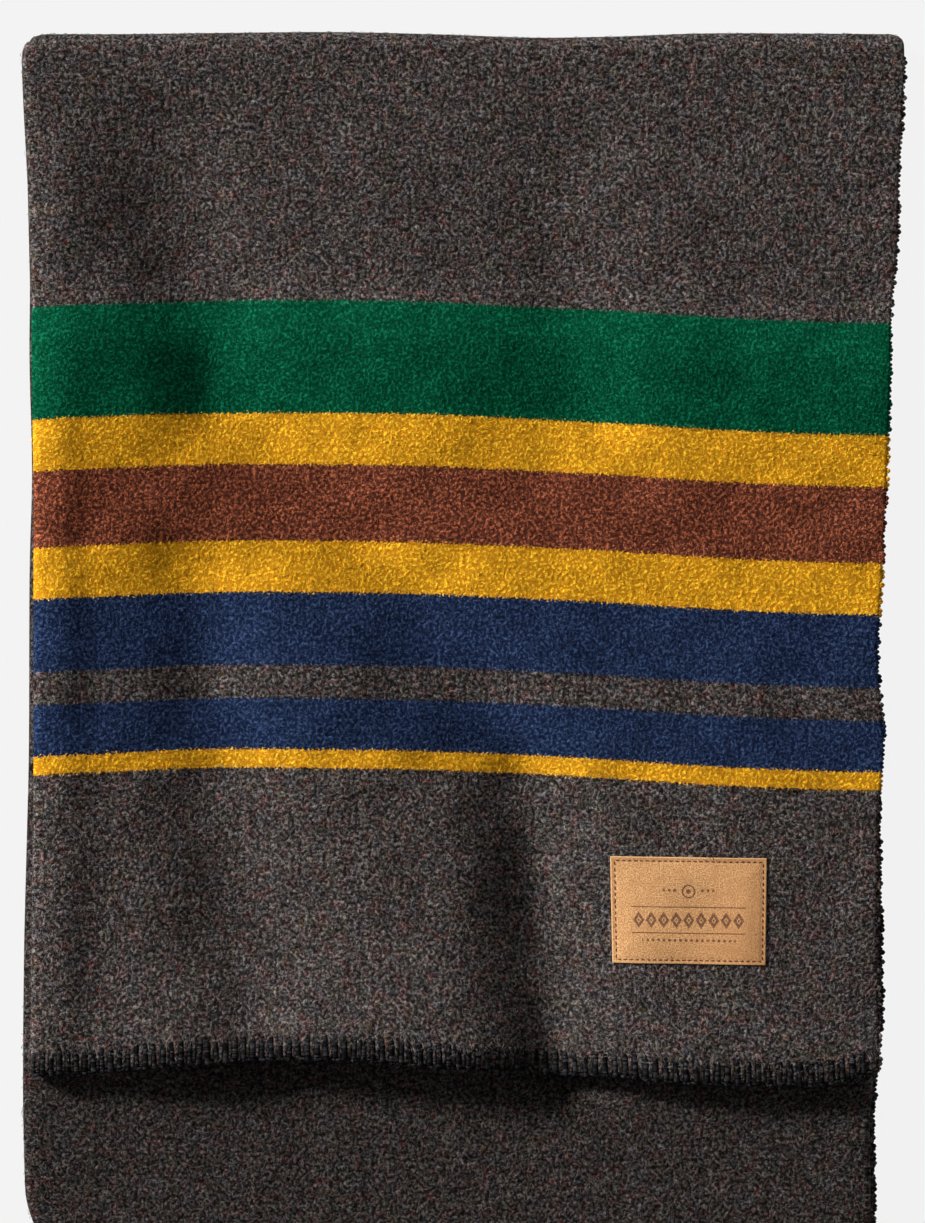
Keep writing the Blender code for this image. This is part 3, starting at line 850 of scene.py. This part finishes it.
columns = cloth_columns(FRONT_GRID, HIDDEN_GRID)
flap_rows = steps(HEM_DEPTH, V_FLAP - SEAM_REACH, LENGTH_GRID)
top_rows = stations(
    (V_FLAP - SEAM_REACH, V_FLAP, LENGTH_GRID),
    (V_FLAP, V_TOP, (V_TOP - V_FLAP) / FOLD_STEPS),
    (V_TOP, V_TOP + SEAM_REACH, LENGTH_GRID),
)
run_rows = steps(V_TOP + SEAM_REACH, V_RUN - SEAM_REACH, LENGTH_GRID)
bottom_rows = stations(
    (V_RUN - SEAM_REACH, V_RUN, LENGTH_GRID),
    (V_RUN, V_BOTTOM, (V_BOTTOM - V_RUN) / FOLD_STEPS),
    (V_BOTTOM, V_BOTTOM + SEAM_REACH, LENGTH_GRID),
)
under_rows = steps(V_BOTTOM + SEAM_REACH, LENGTH - HEM_DEPTH, UNDER_GRID)

flap = closed_sheet("flap_cloth", columns, flap_rows, wool_finish)
top_fold = closed_sheet("top_fold_cloth", columns, top_rows, wool_finish)
run = closed_sheet("run_cloth", columns, run_rows, wool_finish)
bottom_fold = closed_sheet("bottom_fold_cloth", columns, bottom_rows, wool_finish)
under = closed_sheet("under_flap_cloth", columns, under_rows, wool_finish)

# ---------------------------------------------------------------- the stitched ends

# How deep the stitches reach, and how far apart they stand: at the right and at the left of the
# front panel, and in the layers below it.
STITCH_DEPTH = 0.0120
WIDE_PITCH = 0.0058
NARROW_PITCH = 0.0046
HIDDEN_PITCH = 0.0053
FIRST_STITCH = 0.0085
LEG_HALF_WIDE = 0.00135
LEG_HALF_HIGH = 0.0008
LOBE = 0.42
END_ROUND = 0.0024


def stitch_places():
    """Where the legs stand across the throw: closer towards the left fold of the front panel."""
    places = [FIRST_STITCH]
    while places[-1] < WIDTH - FIRST_STITCH - HIDDEN_PITCH:
        share = places[-1] / U_FRONT
        pitch = WIDE_PITCH + (NARROW_PITCH - WIDE_PITCH) * share if share < 1 else HIDDEN_PITCH
        places.append(places[-1] + pitch)
    return np.array(places)


stitches = stitch_places()


def lobes(from_end):
    """The cloth pinched under each leg and swollen between them, as a share of its thickness."""

    def thickness(u, v):
        place = np.interp(u, stitches, np.arange(len(stitches)))
        wave = -np.cos(2 * math.pi * place)
        depth = smooth((STITCH_DEPTH + 0.002 - from_end(v)) / 0.005)
        end = np.sqrt(np.clip(1 - (1 - from_end(v) / END_ROUND) ** 2, 0.05, 1))
        end = np.where(from_end(v) > END_ROUND, 1, end)
        return (1 + LOBE * wave * depth - 0.12 * depth) * end

    return thickness


def hem(name, from_end, start, sign):
    """The last stretch of cloth of an end, fine enough for its stitches."""
    us = cloth_columns(0.0008, 0.0016)
    depths = stations((0, END_ROUND, 0.0006), (END_ROUND, HEM_DEPTH, 0.0018))
    vs = np.sort(start + sign * depths)
    return closed_sheet(name, us, vs, wool_finish, lobes(from_end))


def legs(name, start, sign, seed):
    """One loop of yarn for each stitch: up the face, over the end and up the back."""
    rng = np.random.default_rng(seed)
    count = len(stitches)
    depth = STITCH_DEPTH + rng.normal(0, 0.0007, count)
    lean = rng.normal(0, 0.0005, count)
    # Twelve rings along each leg: their share of its depth, how far they stand towards the face
    # or the back, and their share of the yarn's thickness.
    share = np.array([1.0, 0.94, 0.72, 0.48, 0.24, 0.06, -0.06, -0.06, 0.06, 0.3, 0.65, 1.0])
    side = np.array([0.3, 0.86, 0.95, 0.98, 1.0, 0.95, 0.45, -0.45, -0.95, -1.0, -0.95, -0.3])
    v = start + sign * (depth[:, None] * share)
    u = stitches[:, None] + lean[:, None] * share
    h = (CLOTH / 2 - 0.0001) * side * np.ones_like(u)
    taper = np.array([0.35, 0.8, 1.0, 0.95, 1.0, 1.05, 0.9, 0.9, 1.0, 1.0, 0.9, 0.35])
    body = rng.normal(1, 0.10, count)[:, None]
    return mapped_tubes(
        name, u, v, h, LEG_HALF_WIDE * taper * body, LEG_HALF_HIGH * taper * body, 6, yarn_black
    )


def chain(name, start, sign, seed):
    """The yarn that links the legs along the very end, with a lump at each of them."""
    rng = np.random.default_rng(seed)
    u = steps(stitches[0] - 0.001, stitches[-1] + 0.001, 0.0009)[None, :]
    place = np.interp(u, stitches, np.arange(len(stitches)))
    lump = 0.5 + 0.5 * np.cos(2 * math.pi * place)
    v = start - sign * (0.0004 + 0.0006 * lump + 0.00012 * rng.normal(0, 1, u.shape))
    h = 0.0006 * np.sin(math.pi * place) + 0.0002
    half = 0.0006 + 0.0005 * lump
    return mapped_tubes(name, u, v, h, half, half * 1.25, 6, yarn_black)


flap_hem = hem("flap_hem_cloth", lambda v: v, 0.0, 1)
flap_legs = legs("flap_stitch_legs", 0.0, 1, 11)
flap_chain = chain("flap_stitch_chain", 0.0, 1, 12)
under_hem = hem("under_flap_hem_cloth", lambda v: LENGTH - v, LENGTH, -1)
under_legs = legs("under_flap_stitch_legs", LENGTH, -1, 13)
under_chain = chain("under_flap_stitch_chain", LENGTH, -1, 14)

# ---------------------------------------------------------------- the woven edge


def edge_loops(name, v_start, v_end, seed):
    """Small loops of weft that stand out of the free woven edge, in the colour of their stripe."""
    rng = np.random.default_rng(seed)
    places = []
    v = v_start
    while v < v_end:
        places.append(v)
        v += rng.uniform(0.0019, 0.0029)
    v = np.array(places)[:, None]
    count = len(v)
    big = rng.random((count, 1)) < 0.36
    far = rng.uniform(0.0007, 0.0014, (count, 1))
    near = rng.uniform(0.0001, 0.0007, (count, 1))
    reach = np.where(big, far, near)
    spread = np.where(big, 0.0008, 0.0006)
    turn = np.linspace(0, math.pi, 7)
    u = 0.0009 - (reach + 0.0009) * np.sin(turn)
    vv = v - spread * np.cos(turn) + rng.normal(0, 0.0003, (count, 1)) * np.sin(turn)
    h = rng.normal(0, 0.0004, (count, 1)) * np.ones_like(u)
    half = np.where(big, 0.0010, 0.0007) * (0.80 + 0.20 * np.sin(turn))
    paths = cloth_point(u, vv, h)
    sideways = cloth_point(u, vv, h + NUDGE) - cloth_point(u, vv, h - NUDGE)
    verts, faces = tubes(paths, sideways, half, half, 5)
    uv = np.repeat(np.stack([u, vv], -1).reshape(-1, 2), 5, axis=0)
    return new_piece(name, verts, faces, uv, wool_finish)


flap_loops = edge_loops("flap_edge_loops", 0.002, V_FLAP - 0.002, 21)
run_loops = edge_loops("run_edge_loops", V_TOP + 0.004, V_RUN - 0.004, 22)
under_loops = edge_loops("under_flap_edge_loops", V_BOTTOM + 0.004, LENGTH - 0.002, 23)

# ---------------------------------------------------------------- the loose fibres


def loose_fibres(name, count, u_range, v_range, seed, height=(0.0003, 0.0011)):
    """Short curled fibres that stand out of the nap, each a thin closed spindle."""
    rng = np.random.default_rng(seed)
    length = rng.uniform(0.0018, 0.0046, (count, 1))
    turn = rng.uniform(0, 2 * math.pi, (count, 1))
    bow = rng.normal(0, 0.22, (count, 1)) * length
    share = np.array([0.0, 0.34, 0.67, 1.0])
    forward = length * share
    aside = bow * 4 * share * (1 - share)
    rise = rng.uniform(*height, (count, 1)) * np.array([-0.2, 0.75, 1.0, 0.7])
    u = rng.uniform(*u_range, (count, 1)) + forward * np.cos(turn) - aside * np.sin(turn)
    v = rng.uniform(*v_range, (count, 1)) + forward * np.sin(turn) + aside * np.cos(turn)
    u = np.clip(u, u_range[0], u_range[1])
    v = np.clip(v, v_range[0], v_range[1])
    path = cloth_point(u, v, CLOTH / 2 + rise)
    tangent = path[:, 2] - path[:, 1]
    side = np.cross(tangent, rng.normal(0, 1, (count, 3)))
    side /= np.maximum(np.linalg.norm(side, axis=1, keepdims=True), 1e-9)
    other = np.cross(tangent, side)
    other /= np.maximum(np.linalg.norm(other, axis=1, keepdims=True), 1e-9)
    radius = rng.uniform(0.00009, 0.00015, (count, 1))
    verts = [path[:, 0]]
    for ring in (1, 2):
        for k in range(3):
            angle = 2 * math.pi * k / 3
            verts.append(path[:, ring] + radius * (math.cos(angle) * side + math.sin(angle) * other))
    verts.append(path[:, 3])
    verts = np.stack(verts, 1)
    spindle = [(0, 2, 1), (0, 3, 2), (0, 1, 3), (4, 5, 7), (5, 6, 7), (6, 4, 7)]
    spindle += [(1, 2, 5, 4), (2, 3, 6, 5), (3, 1, 4, 6)]
    faces = [tuple(8 * i + k for k in face) for i in range(count) for face in spindle]
    at = [0, 1, 1, 1, 2, 2, 2, 3]
    uv = np.stack([u[:, at], v[:, at]], -1).reshape(-1, 2)
    return new_piece(name, verts.reshape(-1, 3), faces, uv, loose_finish)


flap_fibres = loose_fibres("flap_loose_fibres", 13000, (0.0, U_LEFT), (0.0, V_FLAP), 31)
hem_fibres = loose_fibres(
    "flap_hem_fibres", 900, (0.0, U_LEFT), (0.007, 0.0165), 34, (0.0007, 0.0017)
)
top_fibres = loose_fibres(
    "top_fold_loose_fibres", 900, (0.0, U_LEFT), (V_FLAP, V_TOP), 32, (0.0001, 0.0005)
)
run_fibres = loose_fibres("run_loose_fibres", 5000, (U_FRONT, U_BACK), (V_RUN - 0.13, V_RUN), 33)

# ---------------------------------------------------------------- the leather patch

patch_low, patch_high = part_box("leather_patch")
PATCH_CENTRE = (patch_low + patch_high) / 2
PATCH_WIDTH_CELLS = 101
PATCH_HEIGHT_CELLS = 69
PATCH_CROWN = 0.0005
THREAD_CHANNEL = 0.00028


def on_front(x, y):
    """Places on the flap's front, found from where they lie in plan."""
    u = RIGHT_X - x
    v = y - FLAP_END_Y
    for _ in range(6):
        point = cloth_point(u, v, CLOTH / 2)
        u = u + point[..., 0] - x
        v = v - (point[..., 1] - y)
    return cloth_point(u, v, CLOTH / 2)


def lay_on_flap(obj, lift):
    """Turns a flat piece made about the origin, and lays it on the flap so that it follows it."""
    count = len(obj.data.vertices)
    local = np.empty(count * 3, np.float32)
    obj.data.vertices.foreach_get("co", local)
    local = local.reshape(-1, 3).astype(float)
    cosine, sine = math.cos(PATCH_TURN), math.sin(PATCH_TURN)
    x = PATCH_CENTRE.x - PATCH_SHIFT + local[:, 0] * cosine - local[:, 1] * sine
    y = PATCH_CENTRE.y + local[:, 0] * sine + local[:, 1] * cosine
    # Its left side leans in a little towards the bottom.
    leftness = np.clip(0.5 - local[:, 0] / PATCH_WIDTH, 0, 1)
    x = x + PATCH_LEAN * leftness * (0.8 - local[:, 1] / PATCH_HEIGHT)
    placed = on_front(x, y)
    placed[:, 2] += local[:, 2] + lift
    obj.data.vertices.foreach_set("co", placed.astype(np.float32).ravel())
    obj.data.update()


def leather_patch():
    """A cut slab with eased edges: crowned a little, and drawn down along its line of stitches."""
    bpy.ops.mesh.primitive_grid_add(
        x_subdivisions=PATCH_WIDTH_CELLS, y_subdivisions=PATCH_HEIGHT_CELLS, size=1
    )
    obj = bpy.context.object
    obj.name = obj.data.name = "leather_patch_suede"
    obj.scale = (PATCH_WIDTH, PATCH_HEIGHT, 1)
    bpy.ops.object.transform_apply(scale=True)
    bpy.ops.object.mode_set(mode="EDIT")
    bpy.ops.mesh.select_all(action="SELECT")
    bpy.ops.mesh.extrude_region_move(TRANSFORM_OT_translate={"value": (0, 0, PATCH_THICKNESS)})
    bpy.ops.mesh.select_all(action="SELECT")
    bpy.ops.mesh.normals_make_consistent(inside=False)
    bpy.ops.object.mode_set(mode="OBJECT")
    bevel = obj.modifiers.new("eased_edges", "BEVEL")
    bevel.limit_method = "ANGLE"
    bevel.angle_limit = math.radians(50)
    bevel.width = 0.00035
    bevel.segments = 2
    bpy.ops.object.modifier_apply(modifier=bevel.name)
    uv = obj.data.uv_layers.new(name="leather")
    for loop in obj.data.loops:
        uv.data[loop.index].uv = obj.data.vertices[loop.vertex_index].co.xy
    for vertex in obj.data.vertices:
        a, b, height = vertex.co
        inset = min(PATCH_WIDTH / 2 - abs(a), PATCH_HEIGHT / 2 - abs(b))
        crown = PATCH_CROWN * smooth((inset - THREAD_INSET) / 0.010)
        channel = THREAD_CHANNEL * math.exp(-(((inset - THREAD_INSET) / 0.0008) ** 2))
        if height > PATCH_THICKNESS / 2:
            vertex.co.z += crown - channel
    obj.data.materials.append(leather_finish())
    obj.data.shade_smooth()
    obj.data.set_sharp_from_angle(angle=math.radians(60))
    obj.select_set(False)
    lay_on_flap(obj, -PATCH_SUNK)
    return obj


def patch_stitches():
    """One small bowed stitch, copied along the line of thread all round the patch."""
    bpy.ops.mesh.primitive_uv_sphere_add(segments=8, ring_count=6, radius=1)
    stitch = bpy.context.object
    stitch.scale = (PATCH_STITCH / 2, THREAD_HALF, THREAD_HALF)
    bpy.ops.object.transform_apply(scale=True)
    places = []
    half_wide = PATCH_WIDTH / 2 - THREAD_INSET
    half_high = PATCH_HEIGHT / 2 - THREAD_INSET
    for half, other, turn in ((half_wide, half_high, 0.0), (half_high, half_wide, math.pi / 2)):
        count = round(2 * half / PATCH_STITCH_PITCH)
        for k in range(count):
            along_side = -half + (k + 0.5) * 2 * half / count
            for side in (-1, 1):
                spot = Matrix.Rotation(turn, 4, "Z") @ Matrix.Translation((along_side, side * other, 0))
                places.append(spot)
    rng = np.random.default_rng(41)
    for place in places[1:]:
        copy = stitch.copy()
        copy.data = stitch.data.copy()
        bpy.context.scene.collection.objects.link(copy)
        slant = Matrix.Rotation(float(rng.normal(0.10, 0.05)), 4, "Z")
        copy.data.transform(Matrix.Translation((0, 0, PATCH_THICKNESS)) @ place @ slant)
        copy.select_set(True)
    stitch.data.transform(Matrix.Translation((0, 0, PATCH_THICKNESS)) @ places[0])
    stitch.select_set(True)
    bpy.context.view_layer.objects.active = stitch
    bpy.ops.object.join()
    stitch.name = stitch.data.name = "patch_stitches"
    stitch.data.materials.append(thread_finish())
    stitch.data.shade_smooth()
    stitch.select_set(False)
    lay_on_flap(stitch, -PATCH_SUNK - 0.0001)
    return stitch


patch = leather_patch()
stitching = patch_stitches()

# ---------------------------------------------------------------- what moves with what

cloth_pieces = (
    (flap, "top_flap"), (flap_hem, "top_flap"), (flap_legs, "top_flap"), (flap_chain, "top_flap"),
    (flap_loops, "top_flap"), (run, "run"), (run_loops, "run"), (under, "under_flap"),
    (under_hem, "under_flap"), (under_legs, "under_flap"), (under_chain, "under_flap"),
    (under_loops, "under_flap"), (flap_fibres, "top_flap"), (hem_fibres, "top_flap"),
    (run_fibres, "run"),
)
for obj, body in cloth_pieces:
    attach(obj, body)
for obj, node, slot in (
    (patch, "leather_patch", "patch_leather"),
    (stitching, "patch_thread", "patch_thread"),
):
    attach(obj, "top_flap")
    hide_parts(node)

# The cloth of the folds and the top fold's fibres keep the place baked into their meshes, tied to
# neither body.
for obj, upper, lower, y, z in (
    (top_fold, "top_flap", "run", TOP_FOLD_Y, FOLD_Z),
    (top_fibres, "top_flap", "run", TOP_FOLD_Y, FOLD_Z),
    (bottom_fold, "run", "under_flap", BOTTOM_FOLD_Y, FOLD_Z * (1 - PRESSED)),
):
    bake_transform(obj)

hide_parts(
    "flap_back_panel", "flap_middle_panel", "flap_front_panel", "flap_left_fold", "flap_right_fold"
)
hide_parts("flap_stitching_back", "flap_stitching_middle", "flap_stitching_front")
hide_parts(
    "run_bottom_panel", "run_middle_panel", "run_top_panel", "run_left_fold", "run_right_fold"
)
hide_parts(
    "under_bottom_panel", "under_middle_panel", "under_top_panel", "under_left_fold",
    "under_right_fold",
)
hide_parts("under_stitching_bottom", "under_stitching_middle", "under_stitching_top")
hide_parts("top_fold_inner", "top_fold_middle", "top_fold_outer")
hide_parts("bottom_fold_inner", "bottom_fold_middle", "bottom_fold_outer")

# ---------------------------------------------------------------- floor, light and camera

FLOOR_SIZE = 12.0
FLOOR_DROP = 0.0004
FLOOR_GLOW = 0.876
bpy.ops.mesh.primitive_plane_add(size=FLOOR_SIZE, location=(0, 0, -FLOOR_DROP))
floor = bpy.context.object
floor.name = "floor"
floor_material = bpy.data.materials.new("pale_floor")
floor_material.use_nodes = True
floor_shader = floor_material.node_tree.nodes["Principled BSDF"]
floor_shader.inputs["Base Color"].default_value = (0.02, 0.02, 0.02, 1)
floor_shader.inputs["Roughness"].default_value = 1.0
floor_shader.inputs["Specular IOR Level"].default_value = 0.0
floor_shader.inputs["Emission Color"].default_value = (1, 1, 1, 1)
floor_shader.inputs["Emission Strength"].default_value = FLOOR_GLOW
floor.data.materials.append(floor_material)

# The air is bright near the horizon and dimmer above, so that most light comes from one side.
HORIZON_GLOW = 0.88
SKY_GLOW = 0.16
DIM_FROM = 0.12
DIM_TO = 0.45
bpy.context.scene.view_settings.view_transform = "Standard"
world = bpy.data.worlds.new("studio")
world.use_nodes = True
sky = world.node_tree.nodes["Background"]
sky.inputs["Color"].default_value = (1, 1, 1, 1)
direction = world.node_tree.nodes.new("ShaderNodeTexCoord")
height = world.node_tree.nodes.new("ShaderNodeSeparateXYZ")
fade = world.node_tree.nodes.new("ShaderNodeMapRange")
fade.interpolation_type = "SMOOTHSTEP"
for socket, value in zip(fade.inputs[1:5], (DIM_FROM, DIM_TO, HORIZON_GLOW, SKY_GLOW)):
    socket.default_value = value
world.node_tree.links.new(direction.outputs["Generated"], height.inputs["Vector"])
world.node_tree.links.new(height.outputs["Z"], fade.inputs["Value"])
world.node_tree.links.new(fade.outputs["Result"], sky.inputs["Strength"])
bpy.context.scene.world = world

# One soft key light, low from the left and a little from the top fold.
KEY_FROM = Vector((-1.80, 1.12, 0.82))
KEY_SPREAD = math.radians(12)
KEY_STRENGTH = 7.2
key_light = bpy.data.objects.new("key_light", bpy.data.lights.new("key_light", "SUN"))
key_light.data.angle = KEY_SPREAD
key_light.data.energy = KEY_STRENGTH
key_light.location = KEY_FROM
key_light.rotation_euler = (-KEY_FROM).to_track_quat("-Z", "Y").to_euler()
bpy.context.scene.collection.objects.link(key_light)

# The camera looks straight down on the folded blanket.
VIEW_CENTRE = Vector((0.0035, 0.0176, 0.032))
VIEW_HEIGHT = 0.6526
CAMERA_DISTANCE = 3.0
SENSOR = 24.0
camera = bpy.data.objects.new("camera", bpy.data.cameras.new("camera"))
camera.location = VIEW_CENTRE + Vector((0, 0, CAMERA_DISTANCE))
camera.data.sensor_width = SENSOR
camera.data.lens = SENSOR * CAMERA_DISTANCE / VIEW_HEIGHT
camera.data.clip_end = 50
bpy.context.scene.collection.objects.link(camera)
bpy.context.scene.camera = camera
